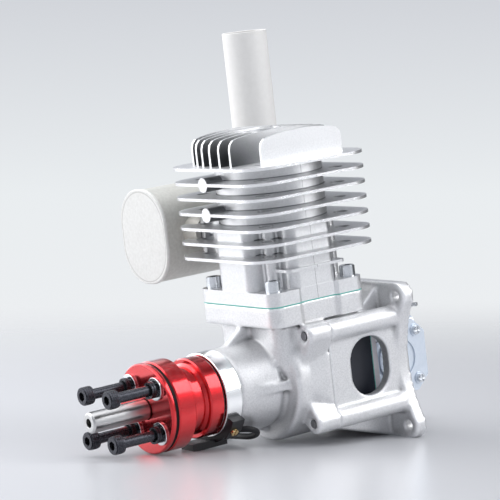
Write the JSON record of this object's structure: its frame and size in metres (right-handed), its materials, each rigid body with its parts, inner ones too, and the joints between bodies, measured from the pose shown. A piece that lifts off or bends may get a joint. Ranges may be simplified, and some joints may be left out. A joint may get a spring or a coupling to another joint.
{
  "type": "model aircraft engine",
  "caption": "Single-cylinder two-stroke model aircraft engine with finned cylinder, side muffler with upright outlet, red propeller hub and rear carburettor.",
  "frame": {"origin": "centre of the four mounting holes on the mounting flange's rear face, on the crank axis", "axes": "+Y out of the flange's rear face towards the carburettor, -Y towards the propeller, +Z along the cylinder towards the spark plug boss, -X towards the muffler"},
  "size_m": [0.12, 0.2153, 0.2095],
  "materials": {
    "cast_aluminium": "satin as cast",
    "turned_aluminium": "bright turned",
    "red_anodised": "bright red anodised",
    "black_anodised": "black anodised",
    "bright_steel": "turned and ground",
    "black_steel": "black oxide",
    "zinc_steel": "bright zinc plated",
    "yellow_steel": "yellow passivated",
    "grey_steel": "oiled steel",
    "muffler_metal": "matte blasted",
    "carb_alloy": "satin die cast",
    "plate_alloy": "matte pinkish grey",
    "piston_alloy": "machined",
    "ring_iron": "ground",
    "brass": "turned",
    "black_plastic": "moulded",
    "gasket_green": "coated paper",
    "gasket_dark": "coated paper",
    "seal_rubber": "smooth",
    "lead_rubber": "satin jacket"
  },
  "bodies": {
    "engine": {"crankcase": "cast_aluminium", "nose_ring": "turned_aluminium", "rear_housing": "cast_aluminium", "housing_screws": "black_steel", "base_gasket": "gasket_green", "finned_cylinder": "cast_aluminium", "cylinder_screws": "yellow_steel", "front_bearing_outer": "bright_steel", "rear_bearing_outer": "bright_steel", "bearing_balls": "bright_steel", "oil_seal": "seal_rubber", "muffler_can": "muffler_metal", "muffler_front_cap": "muffler_metal", "muffler_rear_cap": "muffler_metal", "outlet_pipe": "muffler_metal", "muffler_neck": "cast_aluminium", "exhaust_gasket": "gasket_dark", "muffler_screws": "black_steel", "hall_sensor": "black_plastic", "sensor_screw": "brass", "sensor_lead": "lead_rubber", "lead_coil": "lead_rubber", "lead_tie": "black_plastic", "lead_plug": "black_plastic", "reed_block": "black_plastic", "reed_cage": "plate_alloy", "reed_petals": "grey_steel", "reed_stops": "bright_steel", "reed_gasket": "gasket_green", "adaptor_plate": "plate_alloy", "manifold_screws": "zinc_steel", "carb_gasket": "gasket_dark", "carb_body": "carb_alloy", "metering_cover": "carb_alloy", "pump_cover": "carb_alloy", "cover_screws": "yellow_steel", "carb_screws": "black_steel", "mixture_needles": "brass", "fuel_inlet": "brass", "throttle_spring": "grey_steel"},
    "throttle": {"throttle_shaft": "yellow_steel"},
    "choke": {"choke_shaft": "yellow_steel"},
    "crank": {"crankshaft": "bright_steel", "bearing_inners": "bright_steel", "hub_key": "grey_steel", "prop_hub": "red_anodised", "sensor_magnet": "grey_steel", "drive_ring": "black_anodised", "prop_washer": "red_anodised", "prop_bolts": "black_steel", "spring_washers": "black_steel", "flat_washers": "zinc_steel", "prop_stud": "bright_steel"},
    "piston_body": {"piston": "piston_alloy", "piston_rings": "ring_iron", "wrist_pin": "bright_steel", "circlips": "grey_steel"},
    "rod_body": {"connecting_rod": "grey_steel", "crank_pin": "bright_steel", "rod_bearings": "bright_steel"}
  },
  "joints": [
    {"name": "crank_spin", "type": "hinge", "parent": "engine", "child": "crank", "pos_m": [0, -0.1, 0], "axis": [0, 1, 0], "continuous": true},
    {"name": "piston_slide", "type": "slide", "parent": "engine", "child": "piston_body", "axis": [0, 0, 1], "range_m": [0, 0.028]},
    {"name": "rod_swing", "type": "hinge", "parent": "piston_body", "child": "rod_body", "pos_m": [0, -0.0493, 0.041], "axis": [0, 1, 0], "range_deg": [-14.7, 14.7]},
    {"name": "throttle_turn", "type": "hinge", "parent": "engine", "child": "throttle", "pos_m": [0, -0.0024, 0], "axis": [0, 0, -1], "range_deg": [0, 75], "stiffness_Nm_per_rad": 0.02, "springref_deg": -28.65},
    {"name": "choke_turn", "type": "hinge", "parent": "engine", "child": "choke", "pos_m": [0, 0.013, 0], "axis": [0, 0, 1], "range_deg": [0, 75]}
  ]
}
